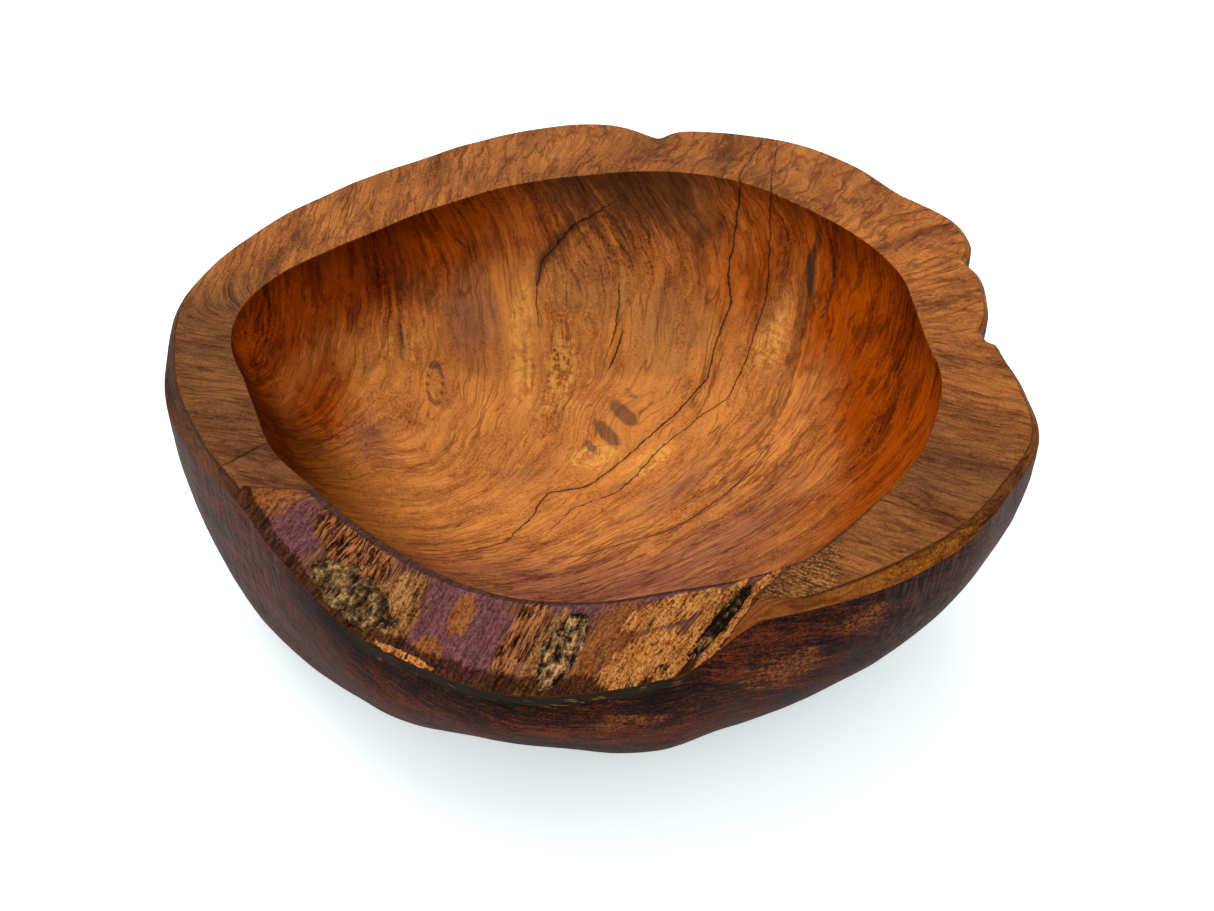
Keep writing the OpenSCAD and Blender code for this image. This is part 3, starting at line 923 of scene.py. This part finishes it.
    raw = patch("mauve", g.ramp(mixed, (0.40, (0.090, 0.028, 0.030)), (0.49, (0.182, 0.061, 0.060)),
                                (0.58, (0.33, 0.120, 0.104))), -0.06, 0.14, raw)
    raw = patch("rust", g.ramp(mixed, (0.40, (0.10, 0.026, 0.010)), (0.48, (0.29, 0.082, 0.022)),
                               (0.58, (0.54, 0.18, 0.05))), -0.2, 0.35, raw)
    raw = patch("fibre", g.ramp(torn, (0.42, (0.022, 0.007, 0.003)), (0.49, (0.24, 0.070, 0.022)),
                                (0.57, (0.66, 0.24, 0.080))), -0.08, 0.1, raw)
    raw = patch("ochre", g.ramp(mixed, (0.40, (0.07, 0.022, 0.007)), (0.49, (0.34, 0.125, 0.038)),
                                (0.57, (0.70, 0.32, 0.10))), -0.08, 0.1, raw)
    lip = g.step(g.field("lip") + fray * 0.05, 0.0, 0.02)
    raw = g.blend(lip * 0.88, raw, g.ramp(
        mixed, (0.36, (0.030, 0.012, 0.010)), (0.5, (0.085, 0.032, 0.026)),
        (0.62, (0.15, 0.056, 0.042))))
    raw = g.blend(g.step(g.field("strip") + fray * 1.1, 1.1, 0.85) * 0.85, raw, g.ramp(
        mixed, (0.40, (0.010, 0.005, 0.003)), (0.5, (0.034, 0.010, 0.005)),
        (0.58, (0.13, 0.036, 0.010))))
    raw = patch("gold", g.ramp(mixed, (0.41, (0.14, 0.034, 0.006)), (0.47, (0.60, 0.170, 0.032)),
                               (0.57, (1.0, 0.45, 0.125))), -0.08, 0.08, raw)
    loose = g.math("MAXIMUM", g.field("gold"), g.field("fibre"))
    loose = g.step(loose + fray * 0.9, -0.1, 0.1)
    # Painted shade in the pits between the loose torn fibres, which the bump also sinks
    raw = g.blend(pits * loose * 0.85, raw, (0.020, 0.008, 0.004))

    colour = g.blend(hollow, top, inside)
    colour = g.blend(wall, colour, side)
    calm = 1.0 - live
    colour = g.blend(second * 0.6, colour, (0.42, 0.32, 0.42), "MULTIPLY")
    colour = g.blend(third * 0.75, colour, (0.36, 0.26, 0.32), "MULTIPLY")
    colour = g.blend(rings * calm * 0.38, colour, (0.5, 0.38, 0.3), "MULTIPLY")
    colour = g.blend(thin * calm * 0.6, colour, (0.3, 0.19, 0.14), "MULTIPLY")
    colour = g.blend(pores * calm * 0.6, colour, BLACK)
    # Bright flecks with painted varnish highlights
    colour = g.blend(glinting_flecks * calm * 0.5, colour, (1.7, 1.6, 1.4), "MULTIPLY")
    colour = g.blend(live, colour, raw)
    colour = g.blend(seam * 0.75, colour, (0.035, 0.014, 0.009))

    jags = (g.noise(place, 5, 2) - 0.5) * 1.8 + (g.noise(place, 1.4, 2) - 0.5) * 0.9
    cracked = 0.0
    uneven = (g.noise(place, 7, 2) - 0.5) * 0.5
    for name, opening_name, half_width in (
            ("crack", "opening", CRACK_HALF), ("hairline", "hair_opening", HAIRLINE_HALF)):
        split = g.math("ABSOLUTE", g.field(name) + jags) + uneven * half_width
        opening = g.field(opening_name)
        inner = g.step(split - opening * half_width, 0.16, -0.06) * g.step(opening, 0.05, 0.4)
        halo = g.step(split, 2.2, 0.2) * opening
        colour = g.blend(halo * half_width, colour, (0.4, 0.3, 0.25), "MULTIPLY")
        colour = g.blend(inner * (0.6 + half_width), colour, (0.020, 0.008, 0.005))
        cracked = inner + cracked

    height = (fibres - 0.5) * ripple * 0.18 + (specks - 0.5) * 0.09 + (streaks - 0.5) * ripple * 0.12
    height = height - rings * 0.05 - (thin + second + third) * 0.08 - pores * 0.1 - cracked * 0.4
    height = height + live * ((torn - 0.5) * 1.7 + (grit - 0.5) * 0.8 - pits * loose * 0.5)
    roughness = 0.5 + (fibres - 0.5) * 0.25 + live * 0.2
    return g.finish(colour, roughness, WOOD_GLOSS, height)


def bark_material(name, dark, middle, light):
    """Furrowed bark: dark in its furrows, with pale scaly tops."""
    g = Graph(name)
    x, y, z = g.place()
    place = g.vector(x, y, z)
    relief = g.field("relief")
    scales = g.noise(place, 1.5, 4, 0.7)
    furrows = g.noise(g.vector(g.field("grain") / 1.2, x / 5.0, y / 5.0), 1, 3, 0.6)
    blotch = g.noise(place, 4, 3)
    tone = scales * 0.5 + furrows * 0.3 + blotch * 0.2 + relief * 0.06
    colour = g.ramp(tone, (0.44, dark), (0.53, middle), (0.6, light))
    height = (scales - 0.5) * 1.8 + (furrows - 0.5) * 1.2
    roughness = 0.75 + (scales - 0.5) * 0.4
    return g.finish(colour, roughness, 0.1, height)


bowl.data.materials.append(wood_material())
bark_left.data.materials.append(bark_material(
    "bark_greenish", (0.026, 0.013, 0.005), (0.20, 0.095, 0.034), (0.58, 0.34, 0.12)))
bark_front.data.materials.append(bark_material(
    "bark_yellow", (0.016, 0.008, 0.004), (0.30, 0.145, 0.055), (0.90, 0.50, 0.19)))
bark_right.data.materials.append(bark_material(
    "bark_dark", (0.012, 0.005, 0.003), (0.09, 0.040, 0.016), (0.60, 0.28, 0.08)))

# -------------------------------------------------------------------- camera and studio

CAMERA_RISE = math.radians(39)
CAMERA_DISTANCE = 668
AIM = Vector((5.2, -8.3, 41.5)) * MM


def make_camera():
    data = bpy.data.cameras.new("camera")
    data.lens = 60
    data.sensor_width = 36
    camera = bpy.data.objects.new("camera", data)
    back = Vector((0, -math.cos(CAMERA_RISE), math.sin(CAMERA_RISE)))
    camera.location = AIM + back * CAMERA_DISTANCE * MM
    camera.rotation_euler = (math.pi / 2 - CAMERA_RISE, 0, 0)
    bpy.context.collection.objects.link(camera)
    bpy.context.scene.camera = camera


def softbox(name, place, side, power, colour=(1, 1, 1)):
    """A square lamp that faces the bowl."""
    data = bpy.data.lights.new(name, "AREA")
    data.size = side
    data.energy = power
    data.color = colour
    lamp = bpy.data.objects.new(name, data)
    lamp.location = place
    lamp.rotation_euler = (AIM - Vector(place)).to_track_quat("-Z", "Y").to_euler()
    bpy.context.collection.objects.link(lamp)


def make_studio():
    softbox("key", (-0.25, 0.75, 1.3), 1.7, 14)
    softbox("fill", (-0.6, -1.3, 1.0), 1.2, 2, (0.92, 0.96, 1))
    world = bpy.data.worlds.new("studio")
    world.use_nodes = True
    background = world.node_tree.nodes["Background"]
    background.inputs["Color"].default_value = (0.93, 0.97, 1, 1)
    background.inputs["Strength"].default_value = 0.9
    bpy.context.scene.world = world
    bpy.context.scene.view_settings.view_transform = "Standard"


def make_floor():
    half = 3.0
    mesh = bpy.data.meshes.new("floor")
    corners = [(-half, -half, 0), (half, -half, 0), (half, half, 0), (-half, half, 0)]
    mesh.from_pydata(corners, [], [(0, 1, 2, 3)])
    floor = bpy.data.objects.new("floor", mesh)
    bpy.context.collection.objects.link(floor)
    material = bpy.data.materials.new("floor")
    material.use_nodes = True
    shader = material.node_tree.nodes["Principled BSDF"]
    shader.inputs["Base Color"].default_value = (0.9, 0.92, 0.93, 1)
    shader.inputs["Roughness"].default_value = 0.7
    shader.inputs["Emission Color"].default_value = (0.93, 1, 0.99, 1)
    shader.inputs["Emission Strength"].default_value = 0.52
    mesh.materials.append(material)


make_camera()
make_studio()
make_floor()
